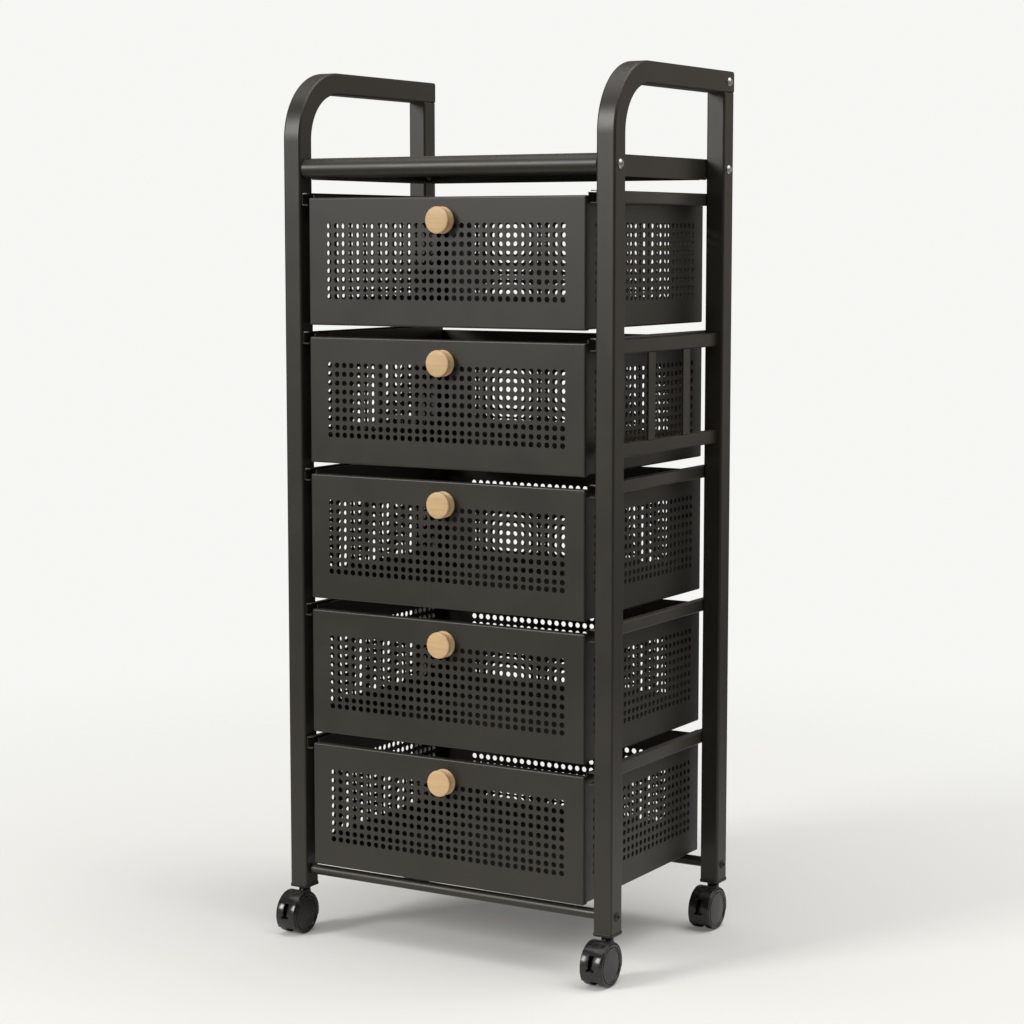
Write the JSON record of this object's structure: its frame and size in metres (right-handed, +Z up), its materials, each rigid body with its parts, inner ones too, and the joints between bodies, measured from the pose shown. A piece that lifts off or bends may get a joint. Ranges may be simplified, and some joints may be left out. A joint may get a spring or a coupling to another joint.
{
  "type": "rolling salon trolley",
  "caption": "Tall rolling trolley with perforated sliding drawers with wooden knobs, side handles, a top shelf and twin-wheel swivel casters.",
  "frame": {"origin": "on the floor, below the middle of the whole object's box", "axes": "+Z up; +Y from the drawer fronts to the back; +X to the right as seen from the front"},
  "size_m": [0.438, 0.3192, 1.01],
  "materials": {
    "frame_coat": "satin fine-textured powder coat, warm charcoal",
    "drawer_coat": "satin powder coat on perforated sheet, warm charcoal",
    "runner_coat": "satin powder coat, charcoal",
    "beech": "smooth lacquered pale beech",
    "black_plastic": "matt moulded black",
    "caster_plastic": "glossy moulded black nylon",
    "zinc": "bright zinc plating",
    "black_bolt": "blackened steel"
  },
  "bodies": {
    "frame": {"left_handle_tube": "frame_coat", "left_rear_post": "frame_coat", "left_brace": "frame_coat", "left_runners": "runner_coat", "right_handle_tube": "frame_coat", "right_rear_post": "frame_coat", "right_brace": "frame_coat", "right_runners": "runner_coat", "shelf": "frame_coat", "top_front_rail": "frame_coat", "top_rear_rail": "frame_coat", "low_front_rail": "frame_coat", "low_rear_rail": "frame_coat", "handle_connectors": "zinc", "handle_end_plugs": "black_plastic", "foot_caps": "black_plastic", "handle_bolts": "zinc", "top_rail_bolts": "zinc", "low_rail_bolts": "black_bolt", "caster_front_left_stem": "zinc", "caster_front_right_stem": "zinc", "caster_rear_left_stem": "zinc", "caster_rear_right_stem": "zinc"},
    "drawer_1": {"drawer_1_front": "drawer_coat", "drawer_1_box": "drawer_coat", "drawer_1_knob": "beech", "drawer_1_knob_screw": "zinc"},
    "drawer_2": {"drawer_2_front": "drawer_coat", "drawer_2_box": "drawer_coat", "drawer_2_knob": "beech", "drawer_2_knob_screw": "zinc"},
    "drawer_3": {"drawer_3_front": "drawer_coat", "drawer_3_box": "drawer_coat", "drawer_3_knob": "beech", "drawer_3_knob_screw": "zinc"},
    "drawer_4": {"drawer_4_front": "drawer_coat", "drawer_4_box": "drawer_coat", "drawer_4_knob": "beech", "drawer_4_knob_screw": "zinc"},
    "drawer_5": {"drawer_5_front": "drawer_coat", "drawer_5_box": "drawer_coat", "drawer_5_knob": "beech", "drawer_5_knob_screw": "zinc"},
    "front_left_caster": {"caster_front_left_hood": "caster_plastic", "caster_front_left_axle": "zinc"},
    "front_left_left_wheel": {"caster_front_left_left_wheel": "caster_plastic"},
    "front_left_right_wheel": {"caster_front_left_right_wheel": "caster_plastic"},
    "front_right_caster": {"caster_front_right_hood": "caster_plastic", "caster_front_right_axle": "zinc"},
    "front_right_left_wheel": {"caster_front_right_left_wheel": "caster_plastic"},
    "front_right_right_wheel": {"caster_front_right_right_wheel": "caster_plastic"},
    "rear_left_caster": {"caster_rear_left_hood": "caster_plastic", "caster_rear_left_axle": "zinc"},
    "rear_left_left_wheel": {"caster_rear_left_left_wheel": "caster_plastic"},
    "rear_left_right_wheel": {"caster_rear_left_right_wheel": "caster_plastic"},
    "rear_right_caster": {"caster_rear_right_hood": "caster_plastic", "caster_rear_right_axle": "zinc"},
    "rear_right_left_wheel": {"caster_rear_right_left_wheel": "caster_plastic"},
    "rear_right_right_wheel": {"caster_rear_right_right_wheel": "caster_plastic"}
  },
  "joints": [
    {"name": "drawer_1_slide", "type": "slide", "parent": "frame", "child": "drawer_1", "axis": [0, -1, 0], "range_m": [0, 0.2]},
    {"name": "drawer_2_slide", "type": "slide", "parent": "frame", "child": "drawer_2", "axis": [0, -1, 0], "range_m": [0, 0.2]},
    {"name": "drawer_3_slide", "type": "slide", "parent": "frame", "child": "drawer_3", "axis": [0, -1, 0], "range_m": [0, 0.2]},
    {"name": "drawer_4_slide", "type": "slide", "parent": "frame", "child": "drawer_4", "axis": [0, -1, 0], "range_m": [0, 0.2]},
    {"name": "drawer_5_slide", "type": "slide", "parent": "frame", "child": "drawer_5", "axis": [0, -1, 0], "range_m": [0, 0.2]},
    {"name": "front_left_swivel", "type": "hinge", "parent": "frame", "child": "front_left_caster", "pos_m": [-0.205, -0.11862, 0.051], "axis": [0, 0, 1], "continuous": true},
    {"name": "front_left_left_roll", "type": "hinge", "parent": "front_left_caster", "child": "front_left_left_wheel", "pos_m": [-0.205, -0.13362, 0.024], "axis": [1, 0, 0], "continuous": true},
    {"name": "front_left_right_roll", "type": "hinge", "parent": "front_left_caster", "child": "front_left_right_wheel", "pos_m": [-0.205, -0.13362, 0.024], "axis": [1, 0, 0], "continuous": true},
    {"name": "front_right_swivel", "type": "hinge", "parent": "frame", "child": "front_right_caster", "pos_m": [0.205, -0.11862, 0.051], "axis": [0, 0, 1], "continuous": true},
    {"name": "front_right_left_roll", "type": "hinge", "parent": "front_right_caster", "child": "front_right_left_wheel", "pos_m": [0.205, -0.13362, 0.024], "axis": [1, 0, 0], "continuous": true},
    {"name": "front_right_right_roll", "type": "hinge", "parent": "front_right_caster", "child": "front_right_right_wheel", "pos_m": [0.205, -0.13362, 0.024], "axis": [1, 0, 0], "continuous": true},
    {"name": "rear_left_swivel", "type": "hinge", "parent": "frame", "child": "rear_left_caster", "pos_m": [-0.205, 0.14638, 0.051], "axis": [0, 0, 1], "continuous": true},
    {"name": "rear_left_left_roll", "type": "hinge", "parent": "rear_left_caster", "child": "rear_left_left_wheel", "pos_m": [-0.205, 0.13137, 0.024], "axis": [1, 0, 0], "continuous": true},
    {"name": "rear_left_right_roll", "type": "hinge", "parent": "rear_left_caster", "child": "rear_left_right_wheel", "pos_m": [-0.205, 0.13137, 0.024], "axis": [1, 0, 0], "continuous": true},
    {"name": "rear_right_swivel", "type": "hinge", "parent": "frame", "child": "rear_right_caster", "pos_m": [0.205, 0.14638, 0.051], "axis": [0, 0, 1], "continuous": true},
    {"name": "rear_right_left_roll", "type": "hinge", "parent": "rear_right_caster", "child": "rear_right_left_wheel", "pos_m": [0.205, 0.13137, 0.024], "axis": [1, 0, 0], "continuous": true},
    {"name": "rear_right_right_roll", "type": "hinge", "parent": "rear_right_caster", "child": "rear_right_right_wheel", "pos_m": [0.205, 0.13137, 0.024], "axis": [1, 0, 0], "continuous": true}
  ]
}
